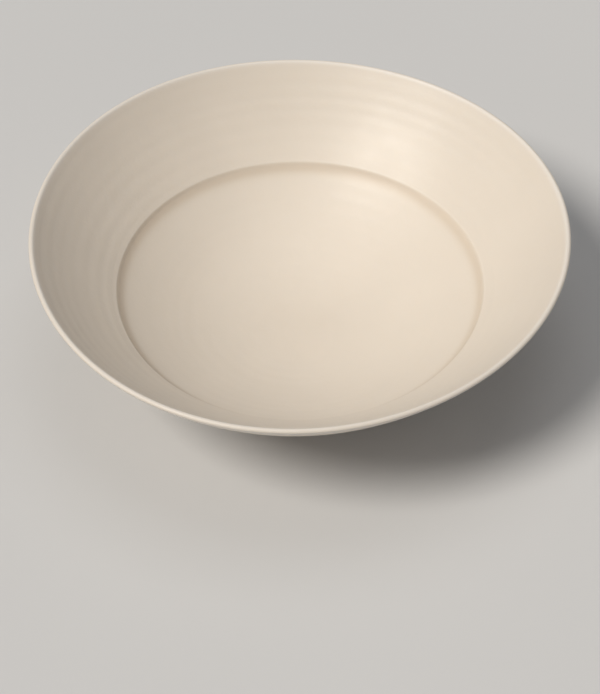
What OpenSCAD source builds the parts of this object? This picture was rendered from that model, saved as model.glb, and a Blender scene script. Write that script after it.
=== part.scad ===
// Porcelain serving bowl: a wide flaring wall round a deep dished well, on a luted foot ring.
// The fired body carries a vitreous glaze coat everywhere except on the bare tread of the foot.
// Units are millimetres. +Z is up, and the foot's tread stands on z = 0.

/* [Overall] */
// Diameter over the lip of the glazed bowl
rim_d = 320; // [280:1:360]
// Height of the lip's top above the table
height = 98; // [92:0.5:105]

/* [Well] */
// Diameter of the crease between the wall and the well
well_d = 223; // [190:1:240]
// Depth of the crease below the lip
crease_depth = 46; // [38:0.5:51]
// Height of the small step at the crease
step_h = 4; // [2:0.1:5.5]
// Width of the step's slope, seen from above
step_w = 1.8; // [1:0.1:3]
// Reach of the fillet where the step meets the well floor
step_fillet = 6; // [3:0.5:9]
// How far the well floor dips from the step to its middle
floor_dip = 37; // [28:0.5:41]

/* [Wall] */
// Thickness of the lip, glaze included
lip_t = 3.3; // [2.6:0.1:5]
// Thickness of the wall at the crease
wall_t = 6; // [4.5:0.1:8]
// How far the inside of the wall hollows below a straight line
wall_sag = 1.6; // [0:0.2:4]
// Thickness of the well floor, measured straight down
floor_t = 5; // [4:0.1:7]

/* [Foot ring] */
// Diameter of the foot ring's outer edge at the tread
foot_d = 120; // [100:1:140]
// Width of the foot ring's lower part
tread_w = 4.4; // [3:0.1:7]
// Width of the foot ring where it is luted to the body
root_w = 9; // [7:0.1:12]
// Chamfer on each edge of the tread
tread_chamfer = 0.8; // [0.3:0.1:1.2]

/* [Glaze] */
// Thickness of the glaze coat, measured square to its surface
glaze_t = 0.3; // [0.2:0.05:0.5]
// Height of the bare, wiped band above the table
bare_h = 2.2; // [1.5:0.1:4]

/* [Hidden] */
$fn = 192;

porcelain = [0.90, 0.86, 0.81];
cream_glaze = [0.91, 0.87, 0.82];
bare_clay = [0.86, 0.82, 0.76];

// Corners of each stretch of the profile
wall_steps = 12;
lip_steps = 6;
shoulder_steps = 10;
fillet_steps = 5;
floor_steps = 14;
base_steps = 6;
foot_steps = 6;

// Well: the floor is a power curve from the middle to the foot of the step
floor_power = 2.2;
crease = [well_d / 2, height - crease_depth];
step_foot = crease - [step_w, step_h];
floor_z = step_foot[1] - floor_dip;
fillet_r = step_foot[0] - step_fillet;
// Part of the step's slope that the fillet takes up
fillet_share = 0.55;

// Lip: a round bead whose skin is the glaze
bead_r = lip_t / 2 - glaze_t;
bead = [rim_d / 2 - lip_t / 2, height - lip_t / 2];
wall_run = norm(bead - crease);
wall_turn = atan(4 * wall_sag / wall_run);
wall_slope = atan2(bead[1] - crease[1], bead[0] - crease[0]);
lip_slope = wall_slope + wall_turn;
wall_end = bead + bead_r * [-sin(lip_slope), cos(lip_slope)];

// Shoulder: the outside blends from the wall to the floor's underside between these two places
shoulder_top = 0.3;
shoulder_r = 0.8 * well_d / 2;

// Foot ring: the root is wider than the tread by the same reach on each side
foot_r = foot_d / 2;
root_reach = (root_w - tread_w) / 2;
root_out = foot_r + root_reach;
root_in = root_out - root_w;
flare_power = 2.4;

function floor_at(r) = floor_z + floor_dip * pow(r / step_foot[0], floor_power);
function under_at(r) = [r, floor_at(r) - floor_t];
function slope_at(r) = floor_dip * floor_power * pow(r / step_foot[0], floor_power - 1) / step_foot[0];
function bezier(a, b, c, t) = (1 - t) * (1 - t) * a + 2 * t * (1 - t) * b + t * t * c;
function steps(n) = [for (i = [0:n]) i / n];
function flip(list) = [for (i = [len(list) - 1:-1:0]) list[i]];

// Inside of the wall, from the crease (0) to the lip (1), and the slope there
function wall_at(t) = crease + (wall_end - crease) * t
    + 4 * wall_sag * t * (1 - t) * [sin(wall_slope), -cos(wall_slope)];
function wall_angle(t) = wall_slope + atan(4 * wall_sag * (2 * t - 1) / wall_run);
function wall_back(t) = wall_at(t)
    + (wall_t * (1 - t) + 2 * bead_r * t) * [sin(wall_angle(t)), -cos(wall_angle(t))];

// Smooth outside between the wall's back and the floor's underside, by Hermite blending
function hermite(a, sa, b, sb, t) = [
    a[0] + (b[0] - a[0]) * t,
    a[1] * (1 + 2 * t) * (1 - t) * (1 - t) + b[1] * t * t * (3 - 2 * t)
        + (b[0] - a[0]) * (sa * t * (1 - t) * (1 - t) - sb * t * t * (1 - t))];

// Body's inside, from the middle of the well over the lip to the lip's outermost point
inside = concat(
    [for (t = steps(floor_steps)) [fillet_r * t, floor_at(fillet_r * t)]],
    [for (i = [1:fillet_steps]) bezier([fillet_r, floor_at(fillet_r)], step_foot,
        step_foot + fillet_share * (crease - step_foot), i / fillet_steps)],
    [for (t = steps(wall_steps)) wall_at(t)],
    [for (i = [1:lip_steps]) bead_at(90 + lip_slope * (1 - i / lip_steps))],
    [for (i = [1:lip_steps]) bead_at(90 * (1 - i / lip_steps))]);
function bead_at(angle) = bead + bead_r * [cos(angle), sin(angle)];

// Body's outside, from the lip's outermost point down to the root of the foot ring
outside = concat(
    [for (i = [0:lip_steps - 1]) bead_at((lip_slope - 90) * i / lip_steps)],
    [for (i = [0:wall_steps]) wall_back(1 - (1 - shoulder_top) * i / wall_steps)],
    [for (i = [1:shoulder_steps]) hermite(
        wall_back(shoulder_top), tan(wall_angle(shoulder_top)),
        under_at(shoulder_r), slope_at(shoulder_r), i / shoulder_steps)],
    [for (i = [1:base_steps]) under_at(shoulder_r + (root_out - shoulder_r) * i / base_steps)]);

// Body's underside inside the foot ring, from the ring's root to the middle
underside = [for (i = [0:base_steps]) under_at(root_in * (1 - i / base_steps))];

// Foot ring's flanks, from the root down to the top of the bare band
function flank(root, tread) = [for (i = [0:foot_steps])
    let (t = 1 - i / foot_steps, z0 = bare_h, z1 = root[1])
    [tread + (root[0] - tread) * pow(t, flare_power), z0 + (z1 - z0) * t]];
flank_out = flank(under_at(root_out), foot_r);
flank_in = flank(under_at(root_in), foot_r - tread_w);

// Points moved square to their line, to the left of its direction
function left_of(a, b) = [a[1] - b[1], b[0] - a[0]] / norm(b - a);
function side_at(p, i) = let (n = len(p),
    before = left_of(p[max(i - 1, 0)], p[max(i, 1)]),
    after = left_of(p[min(i, n - 2)], p[min(i + 1, n - 1)]),
    mean = before + after) mean / norm(mean);
function coat(p) = [for (i = [0:len(p) - 1]) p[i] + glaze_t * side_at(p, i)];
// The same, with the ends held level or upright where two coats or the axis meet them
function with_ends(list, first, last) = concat([first],
    [for (i = [1:len(list) - 2]) list[i]], [last]);

glaze_in_face = with_ends(coat(inside), [0, floor_z + glaze_t], bead + [bead_r + glaze_t, 0]);
covered_out = concat(outside, [for (i = [1:foot_steps]) flank_out[i]]);
glaze_out_face = with_ends(coat(covered_out), bead + [bead_r + glaze_t, 0],
    [foot_r + glaze_t, bare_h]);
covered_base = concat([for (i = [foot_steps:-1:1]) flank_in[i]], underside);
glaze_base_face = with_ends(coat(covered_base), [foot_r - tread_w - glaze_t, bare_h],
    [0, floor_z - floor_t - glaze_t]);

// One fired porcelain body: well floor, step, wall and lip
module bowl_body() {
    color(porcelain) rotate_extrude()
        polygon(concat(inside, outside, underside));
}

// Turned foot ring, luted to the underside and bare at its tread
module foot_ring() {
    tread_out = [[foot_r, tread_chamfer], [foot_r - tread_chamfer, 0]];
    tread_in = [[foot_r - tread_w + tread_chamfer, 0], [foot_r - tread_w, tread_chamfer]];
    color(bare_clay) rotate_extrude()
        polygon(concat(flank_out, tread_out, tread_in, flip(flank_in)));
}

// Liner glaze over the well, the wall's inside and the top of the lip
module inner_glaze() {
    color(cream_glaze) rotate_extrude()
        polygon(concat(inside, flip(glaze_in_face)));
}

// Glaze over the outside, down the foot ring to its bare band
module outer_glaze() {
    color(cream_glaze) rotate_extrude()
        polygon(concat(covered_out, flip(glaze_out_face)));
}

// Glaze over the underside within the foot ring
module base_glaze() {
    color(cream_glaze) rotate_extrude()
        polygon(concat(covered_base, flip(glaze_base_face)));
}

bowl_body();
foot_ring();
inner_glaze();
outer_glaze();
base_glaze();
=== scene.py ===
import math

import bpy
import numpy as np
from mathutils import Matrix, Vector


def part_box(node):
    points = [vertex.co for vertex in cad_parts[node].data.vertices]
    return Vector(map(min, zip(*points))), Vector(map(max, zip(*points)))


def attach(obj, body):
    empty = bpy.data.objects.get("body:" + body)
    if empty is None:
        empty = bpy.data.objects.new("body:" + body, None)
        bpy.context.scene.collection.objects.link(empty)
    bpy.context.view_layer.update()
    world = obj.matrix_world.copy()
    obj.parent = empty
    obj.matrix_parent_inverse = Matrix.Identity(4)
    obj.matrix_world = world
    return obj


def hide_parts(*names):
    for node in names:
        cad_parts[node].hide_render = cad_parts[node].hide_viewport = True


# A turned porcelain serving bowl: fired body, luted foot ring and three coats of satin glaze.
# Everything is in metres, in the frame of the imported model: +Z up, foot on z = 0.

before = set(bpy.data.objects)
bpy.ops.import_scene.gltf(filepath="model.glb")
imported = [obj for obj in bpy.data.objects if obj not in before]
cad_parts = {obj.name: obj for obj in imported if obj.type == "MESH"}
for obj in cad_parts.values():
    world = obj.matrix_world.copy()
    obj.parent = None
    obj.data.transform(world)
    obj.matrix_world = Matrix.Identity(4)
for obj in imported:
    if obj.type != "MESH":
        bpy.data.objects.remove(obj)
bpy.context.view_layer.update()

MM = 0.001

# ---------------------------------------------------------------- sizes

BODY_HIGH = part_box("bowl_body")[1]
COAT_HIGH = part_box("inner_glaze")[1]
FOOT_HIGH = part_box("foot_ring")[1]

GLAZE_T = COAT_HIGH[2] - BODY_HIGH[2]          # glaze coat, square to its surface
LIP_R = BODY_HIGH[0] + GLAZE_T                 # over the lip, glaze included
LIP_Z = COAT_HIGH[2]
LIP_T = 3.3 * MM                               # lip, glaze included
CREASE_R = 111.5 * MM                          # where the wall meets the well's step
CREASE_DEPTH = 46 * MM                         # of that crease below the lip
STEP_W, STEP_H = 1.8 * MM, 4 * MM
FILLET_REACH, FILLET_SHARE = 6 * MM, 0.55
FLOOR_DIP, FLOOR_POWER = 37 * MM, 2.2
FLOOR_T = 5 * MM
WALL_T, WALL_SAG = 6 * MM, 1.6 * MM
SHOULDER_TOP, SHOULDER_R = 0.3, 0.8 * CREASE_R
TREAD_W, ROOT_W, TREAD_EASE = 4.4 * MM, 9 * MM, 0.8 * MM
FLARE_POWER = 2.4
BARE_H = 2.2 * MM                              # bare band above the tread

CREASE_Z = LIP_Z - CREASE_DEPTH
STEP_R, STEP_Z = CREASE_R - STEP_W, CREASE_Z - STEP_H
FLOOR_Z = STEP_Z - FLOOR_DIP
ROOT_OUT = FOOT_HIGH[0]                        # the ring is widest at its root
ROOT_IN = ROOT_OUT - ROOT_W
FOOT_R = ROOT_OUT - (ROOT_W - TREAD_W) / 2     # outer edge of the tread

# The lip's bead, and the wall's slope where it meets it
BEAD_R = LIP_T / 2 - GLAZE_T
BEAD = np.array([LIP_R - LIP_T / 2, LIP_Z - LIP_T / 2])
CREASE = np.array([CREASE_R, CREASE_Z])
WALL_RUN = float(np.hypot(*(BEAD - CREASE)))
WALL_SLOPE = math.atan2(BEAD[1] - CREASE[1], BEAD[0] - CREASE[0])
LIP_SLOPE = WALL_SLOPE + math.atan(4 * WALL_SAG / WALL_RUN)
WALL_END = BEAD + BEAD_R * np.array([-math.sin(LIP_SLOPE), math.cos(LIP_SLOPE)])

# The ware settled a little in firing: the lip is high on one axis and low on the other
SETTLE = 2.43 * MM
SETTLE_TURN = math.radians(154.6)
SETTLE_EASE = 0.1                              # share of the way to the lip over which it sets in

# Throwing marks: broad rings and fine lines, each with its pitch and its height
RING_PITCH, RING_H = 9.4 * MM, 0.06 * MM
LINE_PITCH, LINE_H = 3.1 * MM, 0.012 * MM
RING_DRIFT, RING_SWELL = 41 * MM, 57 * MM      # runs over which their spacing and height vary

# A coat's wiped lower edge: how far it wanders, and how high above it the wander dies out
EDGE_WOBBLE, SKIRT_H = 0.35 * MM, 6 * MM
EDGE_TAPER, EDGE_LEAST = 0.5 * MM, 0.02        # run over which it thins, and its least share

AROUND = 384                                   # meridians of every turned piece


# ---------------------------------------------------------------- profile lines

def line(*columns):
    """Points (radius, height) as rows."""
    return np.stack([np.broadcast_to(c, np.broadcast(*columns).shape) for c in columns], -1)


def floor_height(r):
    """Well floor: its lowest height plus the dip times (r / step radius) to the floor's power."""
    return FLOOR_Z + FLOOR_DIP * (r / STEP_R) ** FLOOR_POWER


def floor_slope(r):
    """Slope of the well floor, the derivative of floor_height."""
    return FLOOR_DIP * FLOOR_POWER / STEP_R * (r / STEP_R) ** (FLOOR_POWER - 1)


def under_line(r):
    """Underside of the well floor, one floor thickness below it."""
    return line(r, floor_height(r) - FLOOR_T)


def wall_line(t):
    """Inside of the wall: a straight run from crease (0) to lip (1), hollowed by a parabola."""
    down = np.array([math.sin(WALL_SLOPE), -math.cos(WALL_SLOPE)])
    return CREASE + t[:, None] * (WALL_END - CREASE) + (4 * WALL_SAG * t * (1 - t))[:, None] * down


def wall_angle(t):
    """Slope angle of wall_line at t."""
    return WALL_SLOPE + np.arctan(4 * WALL_SAG * (2 * t - 1) / WALL_RUN)


def wall_back(t):
    """Outside of the wall: wall_line moved square to itself by a thickness that tapers to the lip."""
    square = line(np.sin(wall_angle(t)), -np.cos(wall_angle(t)))
    return wall_line(t) + (WALL_T * (1 - t) + 2 * BEAD_R * t)[:, None] * square


def bead_line(angle):
    """The lip's round bead: its centre plus its radius at each angle."""
    return BEAD + BEAD_R * line(np.cos(angle), np.sin(angle))


def shoulder_line(t):
    """Hermite blend in height from the wall's back (0) to the floor's underside (1)."""
    top = wall_back(np.array([SHOULDER_TOP]))[0]
    low = under_line(np.array([SHOULDER_R]))[0]
    run = low[0] - top[0]
    height = (top[1] * (1 + 2 * t) * (1 - t) ** 2 + low[1] * t * t * (3 - 2 * t)
              + run * (math.tan(wall_angle(SHOULDER_TOP)) * t * (1 - t) ** 2
                       - floor_slope(SHOULDER_R) * t * t * (1 - t)))
    return line(top[0] + run * t, height)


def fillet_line(t):
    """Quadratic curve from the floor to the step's slope, its corner at the foot of the step."""
    start = np.array([STEP_R - FILLET_REACH, floor_height(STEP_R - FILLET_REACH)])
    corner = np.array([STEP_R, STEP_Z])
    end = corner + FILLET_SHARE * (CREASE - corner)
    u = t[:, None]
    return (1 - u) ** 2 * start + 2 * u * (1 - u) * corner + u * u * end


def flank_line(root, tread_r, t):
    """Foot ring's flank from its root (0) to the top of the bare band (1), flaring to the root."""
    up = 1 - t
    return line(tread_r + (root[0] - tread_r) * up ** FLARE_POWER, BARE_H + (root[1] - BARE_H) * up)


def join(*lines):
    """One line from several, with repeated end points dropped."""
    whole = np.concatenate(lines)
    moved = np.hypot(*np.diff(whole, axis=0).T) > 1e-7
    return whole[np.concatenate([[True], moved])]


def lengths(points):
    """Distance along the line at each of its points."""
    return np.concatenate([[0], np.cumsum(np.hypot(*np.diff(points, axis=0).T))])


def soften(points, reach, spacing=0.1 * MM):
    """Corners eased: the line is sampled evenly and averaged with a Gaussian of that reach."""
    along = lengths(points)
    even = np.linspace(0, along[-1], int(along[-1] / spacing) + 1)
    dense = np.stack([np.interp(even, along, points[:, k]) for k in (0, 1)], -1)
    half = int(3 * reach / spacing)
    weight = np.exp(-0.5 * (np.arange(-half, half + 1) * spacing / reach) ** 2)
    weight /= weight.sum()
    # The ends are turned over on themselves, so they stay where they are
    padded = np.concatenate([2 * dense[0] - dense[half:0:-1], dense,
                             2 * dense[-1] - dense[-2:-half - 2:-1]])
    return np.stack([np.convolve(padded[:, k], weight, "valid") for k in (0, 1)], -1)


def thin_out(points, wide, fine, places, reach):
    """Fewer points: spaced wide apart, and fine apart within reach of the given places."""
    along = lengths(points)
    near = np.min(np.abs(along[:, None] - np.asarray(places)[None]), axis=1)
    gap = fine + (wide - fine) * np.clip((near - reach) / (3 * reach), 0, 1)
    steps = np.concatenate([[0], np.cumsum(np.diff(along) / gap[1:])])
    wanted = np.linspace(0, steps[-1], int(math.ceil(steps[-1])) + 1)
    at = np.interp(wanted, steps, along)
    return np.stack([np.interp(at, along, points[:, k]) for k in (0, 1)], -1)


def square_to(points):
    """Unit normals on the left of the line's direction."""
    run = np.gradient(points, axis=0)
    return line(-run[:, 1], run[:, 0]) / np.hypot(*run.T)[:, None]


def nearest_along(points, place):
    """Distance along the line of its point nearest to a place."""
    return lengths(points)[np.argmin(np.hypot(*(points - place).T))]


def bell(along, place, width):
    """Bell curve along a line: e to minus the square of the distance from a place over a width."""
    return np.exp(-((along - place) / width) ** 2)


def rise(distance, width):
    """Straight rise from 0 to 1 as a distance goes from 0 to a width."""
    return np.clip(distance / width, 0, 1)


# ---------------------------------------------------------------- turned meshes

def settle(r, angle):
    """Firing warp: SETTLE times an eased radius, times cos of twice the angle.

    x goes from 0 at the foot's root to 1 at the lip, and is eased to its square over x plus the
    ease, scaled to 1 at the lip.
    """
    x = np.clip((r - ROOT_OUT) / (LIP_R - ROOT_OUT), 0, None)
    eased = (1 + SETTLE_EASE) * x * x / (x + SETTLE_EASE)
    return SETTLE * eased * np.cos(2 * (angle - SETTLE_TURN))


def meridians():
    """Angles of the meridians, as one row."""
    return np.linspace(0, 2 * np.pi, AROUND, endpoint=False)[None]


def turned_piece(name, r, z, finish, loop=False, glaze_pooling_and_painted_light=None):
    """Surface of revolution: x = r cos a, y = r sin a, z = height plus the firing warp.

    r and z hold one row per profile point and one column per meridian. The outside is on the
    left of the profile's direction. A profile that starts and ends on the axis closes with one
    vertex at each pole; with loop it closes on itself.
    """
    turn = meridians()
    shape = (len(r), AROUND)
    r, z = np.broadcast_to(r, shape), np.broadcast_to(z, shape)
    rings = np.stack([r * np.cos(turn), r * np.sin(turn), z + settle(r, turn)], -1)
    poles = rings[[0, -1]].mean(1)
    if not loop:
        rings = rings[1:-1]
    grid = np.arange(len(rings) * AROUND).reshape(-1, AROUND)
    here = grid if loop else grid[:-1]
    there = np.roll(grid, -1, 0) if loop else grid[1:]
    quads = np.stack([here, there, np.roll(there, -1, 1), np.roll(here, -1, 1)], -1)
    points = rings.reshape(-1, 3)
    faces = quads.reshape(-1, 4).tolist()
    if not loop:
        pole = np.full(AROUND, len(points))
        points = np.concatenate([points, poles])
        faces += np.stack([pole, grid[0], np.roll(grid[0], -1)], -1).tolist()
        faces += np.stack([pole + 1, np.roll(grid[-1], -1), grid[-1]], -1).tolist()
    mesh = bpy.data.meshes.new(name)
    mesh.from_pydata(points.tolist(), [], faces)
    mesh.polygons.foreach_set("use_smooth", np.ones(len(mesh.polygons), bool))
    if glaze_pooling_and_painted_light is not None:
        depth = np.broadcast_to(glaze_pooling_and_painted_light, shape)
        if not loop:
            depth = np.concatenate([depth[1:-1].reshape(-1), depth[[0, -1], 0]])
        values = depth.reshape(-1).astype("f")
        mesh.attributes.new("glaze_pooling_and_painted_light", "FLOAT", "POINT").data.foreach_set("value", values)
    mesh.update()
    piece = bpy.data.objects.new(name, mesh)
    bpy.context.scene.collection.objects.link(piece)
    mesh.materials.append(finish)
    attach(piece, "root")
    return piece


def wander(seed, swings=7):
    """A slow periodic wobble round the bowl, between about -1 and 1: a sum of a few cosines."""
    rng = np.random.default_rng(seed)
    k = np.arange(1, swings + 1)[:, None]
    weight = rng.normal(0, 1, (swings, 1)) / k ** 0.5
    wave = (weight * np.cos(k * meridians() + rng.uniform(0, 2 * np.pi, (swings, 1)))).sum(0)
    return wave / np.abs(wave).max()


# ---------------------------------------------------------------- the bowl's own surfaces

def inside_line():
    """Body's inside from the middle of the well over the lip to the lip's outermost point."""
    r = np.linspace(0, STEP_R - FILLET_REACH, 200)
    half = math.pi / 2
    return join(line(r, floor_height(r)), fillet_line(np.linspace(0, 1, 40)),
                wall_line(np.linspace(0, 1, 120)),
                bead_line(np.linspace(half + LIP_SLOPE, 0, 80)))


def outside_line():
    """Body's outside from the lip's outermost point down to the root of the foot ring."""
    return join(bead_line(np.linspace(0, LIP_SLOPE - math.pi / 2, 40)),
                wall_back(np.linspace(1, SHOULDER_TOP, 120)),
                shoulder_line(np.linspace(0, 1, 80)),
                under_line(np.linspace(SHOULDER_R, ROOT_OUT, 60)))


def turning_relief(along, fade):
    """Throwing marks in the wall, as height: a spiral of one broad ring per pitch, and finer lines.

    The spiral's phase is the distance along the profile over the pitch, plus one turn per turn.
    """
    s, a = 2 * np.pi * along[:, None], meridians()
    broad = np.sin(s / RING_PITCH + a + 0.7 * np.sin(s / RING_DRIFT))
    fine = np.sin(s / LINE_PITCH + a + 1.3 * np.sin(2 * a))
    uneven = 0.7 + 0.3 * np.sin(s / RING_SWELL + 2 * a)
    return fade[:, None] * uneven * (RING_H * broad + LINE_H * fine)


def hidden_side(body, bends):
    """A coat's side against the body: the body's line with few points, closer at its bends."""
    return thin_out(body, wide=4 * MM, fine=0.8 * MM, places=bends, reach=4 * MM)


def liner_coat(finish):
    """Glaze over the well, the wall and the lip: the body's line moved out by the coat's depth."""
    body = inside_line()
    face = soften(body + GLAZE_T * square_to(body), reach=0.45 * MM)
    face = face[face[:, 0] >= 0]
    face[0, 0] = 0
    lip = lengths(face)[-1]
    crease = nearest_along(face, CREASE)
    bends = [crease, crease - 5 * MM, lip - 3 * MM]
    face = thin_out(face, wide=1.5 * MM, fine=0.3 * MM, places=bends, reach=2.5 * MM)
    along = lengths(face)
    normal = square_to(face)
    # The marks fade out at the middle of the well, at the step and before the lip
    calm = np.minimum(rise(along, 12 * MM), rise(lip - along, 9 * MM))
    calm = calm * rise(np.abs(along - crease + 3 * MM), 9 * MM)
    height = turning_relief(along, calm * np.where(along < crease, 0.55, 1.0))
    r = face[:, :1] + height * normal[:, :1]
    z = face[:, 1:] + height * normal[:, 1:]
    r[0] = 0
    # Glaze pools in the middle of the well. At the foot of the step the darker tone is glaze pooling and
    # painted shade in the crease; over the lip the paler tone is thin glaze and a painted highlight; the
    # pale line along the crease edge is a painted highlight where the glaze also breaks thin
    foot_of_step = crease - 4.5 * MM
    glaze_pooling_and_painted_light = (bell(along, foot_of_step, 3.5 * MM)
            + 0.12 * bell(along, 0, 30 * MM)
            - 0.7 * bell(along, lip - 3.5 * MM, 1.7 * MM)
            - 0.3 * bell(along, crease + 0.3 * MM, 0.8 * MM))
    back = hidden_side(body, [crease, lip - 3 * MM])[::-1]
    back[-1, 0] = 0
    r = np.concatenate([r, np.repeat(back[:, :1], AROUND, 1)])
    z = np.concatenate([z, np.repeat(back[:, 1:], AROUND, 1)])
    glaze_pooling_and_painted_light = np.concatenate([glaze_pooling_and_painted_light, np.zeros(len(back))])[:, None]
    piece = turned_piece("liner_glaze_coat", r, z, finish, glaze_pooling_and_painted_light=glaze_pooling_and_painted_light)
    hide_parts("inner_glaze")
    return piece


def wiped_edge(seed):
    """Height of the glaze's lower edge round the foot: the bare band with a hand-wiped wobble."""
    return BARE_H + EDGE_WOBBLE * wander(seed)


def wiped_depth(distance):
    """A coat's depth at a distance from its wiped edge: it grows as a root, so the edge is round."""
    return GLAZE_T * np.sqrt(np.clip(distance / EDGE_TAPER, EDGE_LEAST, 1))


def skirt(rows, edge_height):
    """A coat's whole profile at every meridian, with its lower edge moved to a wobbling height.

    Rows less than SKIRT_H above the bare band move with the edge, fading with their height.
    """
    r, z = (np.repeat(rows[:, k:k + 1], AROUND, 1) for k in (0, 1))
    fade = (1 - rise(z - BARE_H, SKIRT_H)) ** 2
    return r, z + fade * (edge_height[None] - BARE_H)


def outside_coat(finish):
    """Glaze over the outside and the foot ring's flank, down to the bare band."""
    root = under_line(np.array([ROOT_OUT]))[0]
    body = join(outside_line(), flank_line(root, FOOT_R, np.linspace(0, 1, 60)))
    coat = soften(body, reach=0.8 * MM)
    end = lengths(coat)[-1]
    face = coat + wiped_depth(end - lengths(coat))[:, None] * square_to(coat)
    corner = nearest_along(face, root)
    face = thin_out(face, wide=1.6 * MM, fine=0.3 * MM, places=[0, corner, end], reach=2 * MM)
    along = lengths(face)
    normal = square_to(face)
    calm = np.minimum(rise(along, 14 * MM), rise(corner - along, 14 * MM))
    height = turning_relief(along, 0.6 * calm)
    back = hidden_side(body, [0, corner])[::-1]
    r, z = skirt(np.concatenate([face, back]), wiped_edge(11))
    r[:len(face)] += height * normal[:, :1]
    z[:len(face)] += height * normal[:, 1:]
    # Glaze pools round the foot's root and above the wiped edge; below the lip the paler tone is thin glaze
    # and a painted highlight on the lip's bead
    glaze_pooling_and_painted_light = (bell(along, corner, 4 * MM)
            + 0.5 * bell(along, end - 1.2 * MM, 1 * MM)
            - 0.8 * bell(along, 0, 2 * MM))
    glaze_pooling_and_painted_light = np.concatenate([glaze_pooling_and_painted_light, np.zeros(len(back))])[:, None]
    piece = turned_piece("outside_glaze_coat", r, z, finish, loop=True, glaze_pooling_and_painted_light=glaze_pooling_and_painted_light)
    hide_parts("outer_glaze")
    return piece


def base_coat(finish):
    """Glaze over the underside within the foot ring, from the bare band in to the middle."""
    root = under_line(np.array([ROOT_IN]))[0]
    flank = flank_line(root, FOOT_R - TREAD_W, np.linspace(1, 0, 60))
    body = join(flank, under_line(np.linspace(ROOT_IN, 0, 120)))
    coat = soften(body, reach=0.8 * MM)
    face = coat + wiped_depth(lengths(coat))[:, None] * square_to(coat)
    corner = nearest_along(face, root)
    face = thin_out(face, wide=1.8 * MM, fine=0.3 * MM, places=[0, corner], reach=2 * MM)
    face[-1, 0] = 0
    along = lengths(face)
    back = hidden_side(body, [0, corner])
    back[-1, 0] = 0
    r, z = skirt(np.concatenate([back[::-1], face]), wiped_edge(23))
    glaze_pooling_and_painted_light = bell(along, corner, 4 * MM) + 0.5 * bell(along, 1.2 * MM, 1 * MM)
    glaze_pooling_and_painted_light = np.concatenate([np.zeros(len(back)), glaze_pooling_and_painted_light])[:, None]
    piece = turned_piece("base_glaze_coat", r, z, finish, glaze_pooling_and_painted_light=glaze_pooling_and_painted_light)
    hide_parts("base_glaze")
    return piece


def fired_body(finish):
    """The porcelain under the glaze: floor, step, wall and lip as one closed turned piece."""
    inside = inside_line()
    bends = [nearest_along(inside, CREASE), lengths(inside)[-1]]
    top = thin_out(inside, wide=3 * MM, fine=0.6 * MM, places=bends, reach=3 * MM)
    low = thin_out(outside_line(), wide=3 * MM, fine=0.6 * MM, places=[0], reach=3 * MM)
    base = under_line(np.linspace(ROOT_IN, 0, 30))
    whole = join(top, low, base)
    whole[0, 0] = whole[-1, 0] = 0
    piece = turned_piece("porcelain_body", whole[:, :1], whole[:, 1:], finish)
    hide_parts("bowl_body")
    return piece


def foot(finish):
    """The luted foot ring: two flared flanks, and a bare tread whose edges are sponged round."""
    top_out = under_line(np.array([ROOT_OUT]))[0]
    top_in = under_line(np.array([ROOT_IN]))[0]
    inner_r = FOOT_R - TREAD_W
    t = np.linspace(0, 1, 24)
    turn = np.linspace(0, math.pi / 2, 10)
    # Each tread edge is a quarter of an ellipse twice as tall as it is wide
    ease_out = line(FOOT_R - TREAD_EASE * (1 - np.cos(turn)), 2 * TREAD_EASE * (1 - np.sin(turn)))
    ease_in = line(inner_r + TREAD_EASE * (1 - np.cos(turn)), 2 * TREAD_EASE * (1 - np.sin(turn)))
    flat = line(np.linspace(FOOT_R - TREAD_EASE, inner_r + TREAD_EASE, 8)[1:-1], 0.0)
    whole = join(flank_line(top_out, FOOT_R, t), ease_out, flat, ease_in[::-1],
                 flank_line(top_in, inner_r, t[::-1]))
    piece = turned_piece("foot_ring_turned", whole[:, :1], whole[:, 1:], finish, loop=True)
    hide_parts("foot_ring")
    return piece


# ---------------------------------------------------------------- finishes

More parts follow.
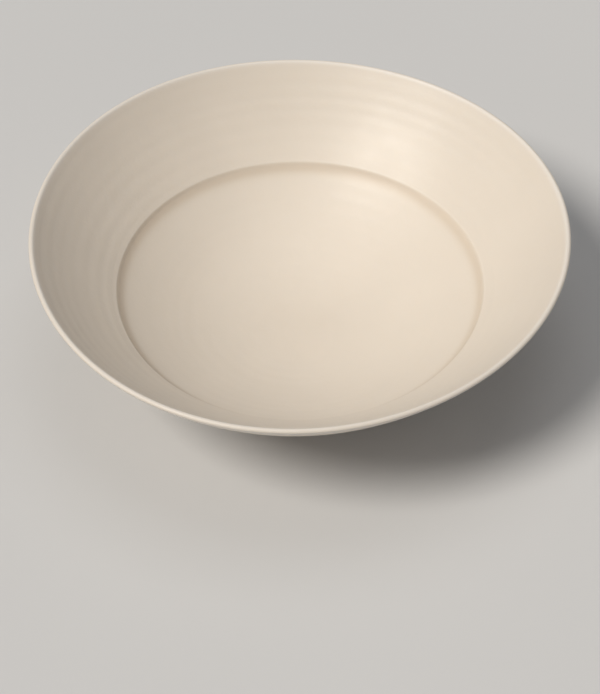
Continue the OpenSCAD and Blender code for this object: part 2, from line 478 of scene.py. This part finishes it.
class Finish:
    """A procedural material: a Principled shader and short calls that wire nodes to it."""

    def __init__(self, name, **sockets):
        self.material = bpy.data.materials.new(name)
        self.material.use_nodes = True
        self.nodes = self.material.node_tree.nodes
        self.shader = self.nodes["Principled BSDF"]
        for key, value in sockets.items():
            self.shader.inputs[key.replace("_", " ")].default_value = value
        self.place = self.nodes.new("ShaderNodeTexCoord").outputs["Object"]

    def link(self, source, target):
        """Wire an output to an input."""
        self.material.node_tree.links.new(source, target)

    def noise(self, scale, detail=3.0, roughness=0.5):
        """Noise in object coordinates, its scale in cycles per metre."""
        node = self.nodes.new("ShaderNodeTexNoise")
        node.inputs["Scale"].default_value = scale
        node.inputs["Detail"].default_value = detail
        node.inputs["Roughness"].default_value = roughness
        self.link(self.place, node.inputs["Vector"])
        return node.outputs["Fac"]

    def ramp(self, source, *stops):
        """Colour ramp; each stop is a position and a linear colour."""
        node = self.nodes.new("ShaderNodeValToRGB")
        while len(node.color_ramp.elements) < len(stops):
            node.color_ramp.elements.new(1.0)
        for element, (at, colour) in zip(node.color_ramp.elements, stops):
            element.position, element.color = at, (*colour, 1)
        self.link(source, node.inputs["Fac"])
        return node.outputs["Color"]

    def blend(self, amount, low, high):
        """Mix by an output of two colours, each an output or a plain colour."""
        node = self.nodes.new("ShaderNodeMix")
        node.data_type = "RGBA"
        self.link(amount, node.inputs[0])
        for socket, value in ((node.inputs[6], low), (node.inputs[7], high)):
            if isinstance(value, bpy.types.NodeSocket):
                self.link(value, socket)
            else:
                socket.default_value = (*value, 1)
        return node.outputs[2]

    def spread(self, source, low, high, start=0.3, end=0.7):
        """A number from low to high as the source goes from start to end."""
        node = self.nodes.new("ShaderNodeMapRange")
        for key, value in (("From Min", start), ("From Max", end), ("To Min", low), ("To Max", high)):
            node.inputs[key].default_value = value
        self.link(source, node.inputs["Value"])
        return node.outputs["Result"]

    def attribute(self, name):
        """A number stored on the mesh's points."""
        node = self.nodes.new("ShaderNodeAttribute")
        node.attribute_name = name
        return node.outputs["Fac"]

    def bump(self, height, strength, distance, under=None):
        """Surface relief from a height output, in metres."""
        node = self.nodes.new("ShaderNodeBump")
        node.inputs["Strength"].default_value = strength
        node.inputs["Distance"].default_value = distance
        self.link(height, node.inputs["Height"])
        if under is not None:
            self.link(under, node.inputs["Normal"])
        self.link(node.outputs["Normal"], self.shader.inputs["Normal"])
        return node.outputs["Normal"]


def satin_glaze(name, body, pooled_and_shade_tone, thin_and_highlight_tone, gloss):
    """Soft white glaze: cloudy tone, deeper where it pools and where shade is painted, paler where it runs
    thin and where a highlight is painted.

    gloss is its mean roughness, and the colours are its body tone, its pooled tone, which also paints
    shade, and its thin tone, which also paints highlights.
    """
    made = Finish(name, IOR=1.5, Subsurface_Weight=0.12, Subsurface_Scale=0.0025)
    made.shader.inputs["Subsurface Radius"].default_value = (1.0, 0.75, 0.55)
    cloudy = made.noise(scale=14, detail=4)
    cloud = made.ramp(cloudy, (0.35, [c * 0.972 for c in body]), (0.65, body))
    speck = made.spread(made.noise(scale=900, detail=2), low=0.0, high=0.05, start=0.66, end=0.78)
    tone = made.blend(speck, cloud, [c * 0.72 for c in body])
    # The pooling number from the mesh also carries painted shade in the crease and painted highlights on
    # the lip and along the crease: it darkens the tone there and pales it
    depth = made.attribute("glaze_pooling_and_painted_light")
    tone = made.blend(made.spread(depth, low=0.0, high=0.9, start=0.0, end=1.0), tone, pooled_and_shade_tone)
    tone = made.blend(made.spread(depth, low=0.85, high=0.0, start=-0.8, end=0.0), tone, thin_and_highlight_tone)
    made.link(tone, made.shader.inputs["Base Color"])
    rough = made.spread(made.noise(scale=32, detail=5), low=gloss - 0.05, high=gloss + 0.06)
    made.link(rough, made.shader.inputs["Roughness"])
    peel = made.bump(made.noise(scale=260, detail=2), strength=0.10, distance=0.6 * MM)
    made.bump(made.noise(scale=1700, detail=2), strength=0.05, distance=0.2 * MM, under=peel)
    return made.material


def bare_porcelain(name, body, grey):
    """Fired clay without glaze: matte, fine-grained, with a few pin holes."""
    made = Finish(name, IOR=1.45)
    made.shader.inputs["Specular IOR Level"].default_value = 0.3
    mottle = made.noise(scale=45, detail=5, roughness=0.6)
    tone = made.ramp(mottle, (0.3, grey), (0.7, body))
    grain = made.noise(scale=2600, detail=3, roughness=0.7)
    holes = made.spread(grain, low=0.0, high=0.25, start=0.55, end=0.8)
    tone = made.blend(holes, tone, [c * 0.8 for c in grey])
    made.link(tone, made.shader.inputs["Base Color"])
    rough = made.spread(made.noise(scale=120, detail=3), low=0.62, high=0.8)
    made.link(rough, made.shader.inputs["Roughness"])
    made.bump(grain, strength=0.35, distance=0.2 * MM)
    return made.material


# ---------------------------------------------------------------- stage

def pale_floor():
    """A plain pale floor, large enough to fill every view."""
    half = 30.0
    corners = [(-half, -half, 0), (half, -half, 0), (half, half, 0), (-half, half, 0)]
    mesh = bpy.data.meshes.new("studio_floor")
    mesh.from_pydata(corners, [], [(0, 1, 2, 3)])
    floor = bpy.data.objects.new("studio_floor", mesh)
    bpy.context.scene.collection.objects.link(floor)
    made = Finish("pale_floor", Roughness=0.75)
    shade = made.ramp(made.noise(scale=1.5, detail=2), (0.3, (0.60, 0.60, 0.60)), (0.7, (0.63, 0.63, 0.63)))
    made.link(shade, made.shader.inputs["Base Color"])
    mesh.materials.append(made.material)


def lamp(name, kind, place, aim, strength, colour, **settings):
    """A light at a place, facing a point."""
    data = bpy.data.lights.new(name, kind)
    data.energy, data.color = strength, colour
    for key, value in settings.items():
        setattr(data, key, value)
    light = bpy.data.objects.new(name, data)
    light.location = place
    light.rotation_euler = (Vector(aim) - Vector(place)).to_track_quat("-Z", "Y").to_euler()
    bpy.context.scene.collection.objects.link(light)


def studio():
    """Plain soft light: a broad key high on the left, a soft light overhead, and an even sky."""
    aim = (0, 0, LIP_Z / 2)
    lamp("key", "SUN", place=(-0.85, -0.58, 1.4), aim=aim, strength=2.35, colour=(1.0, 0.95, 0.88),
         angle=math.radians(20))
    lamp("overhead", "AREA", place=(0.1, 0.2, 1.9), aim=aim, strength=5, colour=(1.0, 0.97, 0.94),
         size=1.1)
    scene = bpy.context.scene
    scene.world = bpy.data.worlds.new("studio_sky")
    scene.world.use_nodes = True
    sky = scene.world.node_tree.nodes["Background"].inputs
    sky["Color"].default_value = (0.90, 0.92, 0.95, 1)
    sky["Strength"].default_value = 0.24
    scene.view_settings.view_transform = "Standard"


def camera():
    """A long lens looking down from the front on the middle of the lip."""
    elevation, roll = math.radians(43.216), math.radians(0.638)
    yaw, pitch = math.radians(0.023), math.radians(-3.059)
    distance = 8.1526 * LIP_R
    back = Vector((0, -math.cos(elevation), math.sin(elevation)))
    right = Vector((1, 0, 0))
    ahead, up = -back, back.cross(right)
    ahead, right = (Matrix.Rotation(yaw, 3, up) @ v for v in (ahead, right))
    ahead, up = (Matrix.Rotation(pitch, 3, right) @ v for v in (ahead, up))
    right, up = (Matrix.Rotation(roll, 3, ahead) @ v for v in (right, up))
    data = bpy.data.cameras.new("camera")
    data.lens, data.sensor_width = 114.1, 36.0
    data.clip_start, data.clip_end = 0.05, 200
    eye = bpy.data.objects.new("camera", data)
    place = back * distance + Vector((0, 0, BEAD[1]))
    eye.matrix_world = Matrix((
        (right.x, up.x, -ahead.x, place.x),
        (right.y, up.y, -ahead.y, place.y),
        (right.z, up.z, -ahead.z, place.z),
        (0, 0, 0, 1)))
    bpy.context.scene.collection.objects.link(eye)
    bpy.context.scene.camera = eye


CREAM, OUTSIDE_CREAM = (0.78, 0.695, 0.595), (0.77, 0.685, 0.585)
# The deeper cream is glaze pooling and painted shade; the paler cream is thin glaze and a painted highlight
POOLED_AND_SHADED_CREAM, THIN_AND_HIGHLIT_CREAM = (0.67, 0.57, 0.46), (0.84, 0.775, 0.70)
FIRED_WHITE, FIRED_GREY = (0.76, 0.71, 0.64), (0.70, 0.65, 0.58)
CLAY_WHITE, CLAY_GREY = (0.70, 0.63, 0.54), (0.60, 0.53, 0.45)

camera()
studio()
pale_floor()
liner_coat(satin_glaze("satin_liner_glaze", CREAM, POOLED_AND_SHADED_CREAM, THIN_AND_HIGHLIT_CREAM, gloss=0.45))
outer_finish = satin_glaze("satin_outside_glaze", OUTSIDE_CREAM, POOLED_AND_SHADED_CREAM, THIN_AND_HIGHLIT_CREAM, gloss=0.46)
outside_coat(outer_finish)
base_coat(outer_finish)
fired_body(bare_porcelain("fired_porcelain", FIRED_WHITE, FIRED_GREY))
foot(bare_porcelain("bare_foot_clay", CLAY_WHITE, CLAY_GREY))
